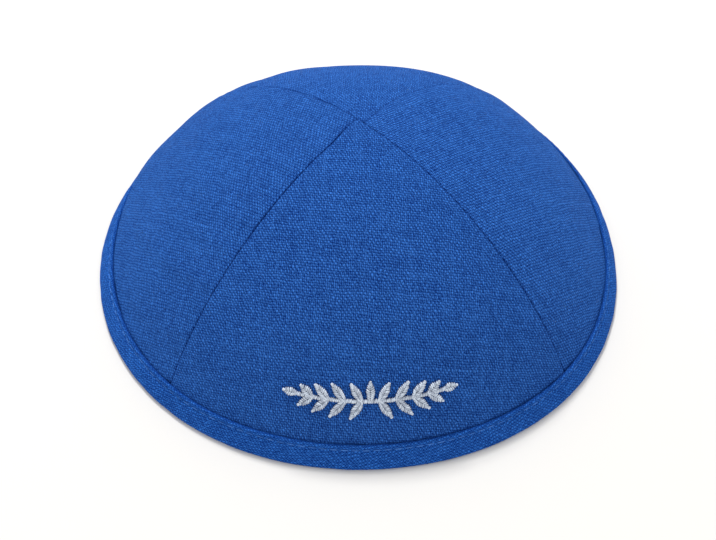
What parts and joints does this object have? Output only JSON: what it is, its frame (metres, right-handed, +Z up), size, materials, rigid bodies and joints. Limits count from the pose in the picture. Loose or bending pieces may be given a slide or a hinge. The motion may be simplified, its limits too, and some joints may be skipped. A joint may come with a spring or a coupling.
{
  "type": "kippah skullcap",
  "caption": "Round domed skullcap of woven linen panels, with a bias-cut binding folded over its rim and a small embroidered leaf sprig above the front edge.",
  "frame": {"origin": "middle of the cap's box on the surface that its rim rests on", "axes": "+Z up through the top of the crown, -Y towards the embroidered front panel, +X to the wearer's left, which is the right side seen from the front"},
  "size_m": [0.1722, 0.173, 0.0595],
  "materials": {
    "linen": "matt plain-woven linen in royal blue, with slubs",
    "bias_linen": "the same linen cut on the bias, folded and topstitched",
    "silver_thread": "satin-stitched rayon thread in pale silver grey, with a soft sheen"
  },
  "bodies": {
    "root": {"panel_front": "linen", "panel_right": "linen", "panel_back": "linen", "panel_left": "linen", "rim_binding": "bias_linen", "embroidery": "silver_thread"}
  },
  "joints": []
}
